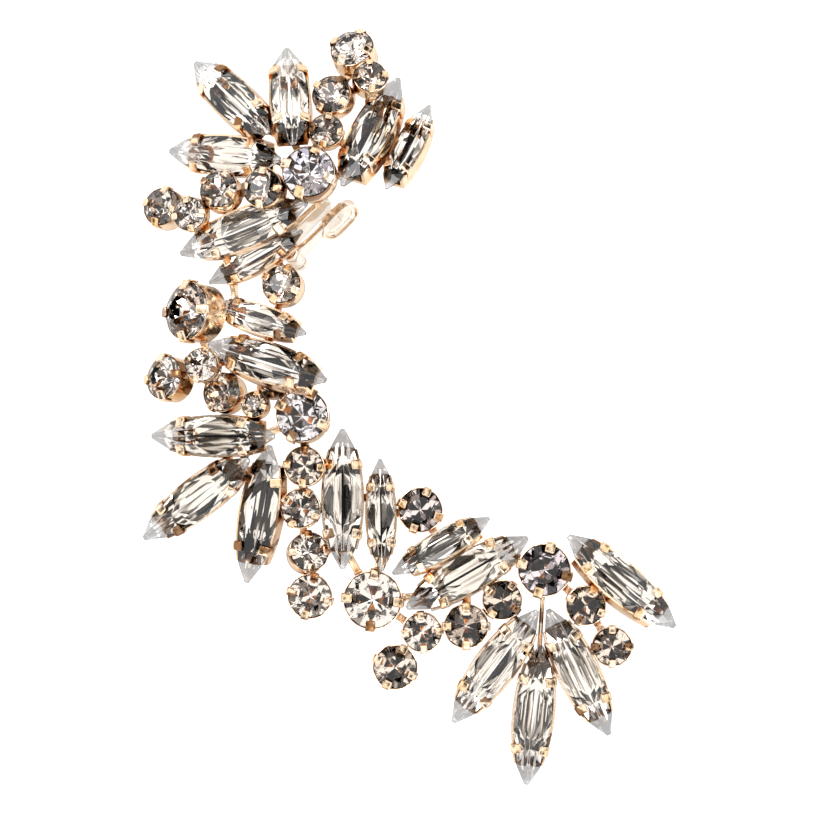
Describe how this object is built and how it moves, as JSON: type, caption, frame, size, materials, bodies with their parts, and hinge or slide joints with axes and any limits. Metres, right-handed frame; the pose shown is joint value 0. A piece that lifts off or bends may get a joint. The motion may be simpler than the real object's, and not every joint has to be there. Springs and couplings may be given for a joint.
{
  "type": "clip-on earring",
  "caption": "Crescent clip-on earring of clear navette and round cut stones in prong settings, with a hinged clip behind its top cluster.",
  "frame": {"origin": "middle of the box that holds the earring, on the table that it lies on", "axes": "+X to the right and +Y up in the front view, along the crescent's height; +Z out of the stones' faces"},
  "size_m": [0.0572, 0.081, 0.0137],
  "materials": {
    "rose_gold": "polished",
    "crystal": "polished"
  },
  "bodies": {
    "earring": {"frame": "rose_gold", "clip_pin": "rose_gold", "navette_01": "crystal", "navette_02": "crystal", "navette_03": "crystal", "navette_04": "crystal", "navette_05": "crystal", "navette_06": "crystal", "navette_07": "crystal", "navette_08": "crystal", "navette_09": "crystal", "navette_10": "crystal", "navette_11": "crystal", "navette_12": "crystal", "navette_13": "crystal", "navette_14": "crystal", "navette_15": "crystal", "navette_16": "crystal", "navette_17": "crystal", "navette_18": "crystal", "navette_19": "crystal", "navette_20": "crystal", "round_01": "crystal", "round_03": "crystal", "round_05": "crystal", "round_06": "crystal", "round_07": "crystal", "round_09": "crystal", "round_10": "crystal", "round_11": "crystal", "round_13": "crystal", "round_14": "crystal", "round_17": "crystal", "round_18": "crystal", "round_19": "crystal", "round_20": "crystal", "round_21": "crystal", "round_22": "crystal", "round_23": "crystal", "round_24": "crystal", "round_25": "crystal", "round_26": "crystal", "round_27": "crystal", "round_28": "crystal", "round_29": "crystal", "round_30": "crystal", "small_round_stones": "crystal"},
    "clip_leaf": {"clip_paddle": "rose_gold"}
  },
  "joints": [
    {"name": "clip_hinge", "type": "hinge", "parent": "earring", "child": "clip_leaf", "pos_m": [-0.01213, 0.01579, 0.00307], "axis": [0.4056, -0.4056, -0.8192], "range_deg": [0, 80]}
  ]
}
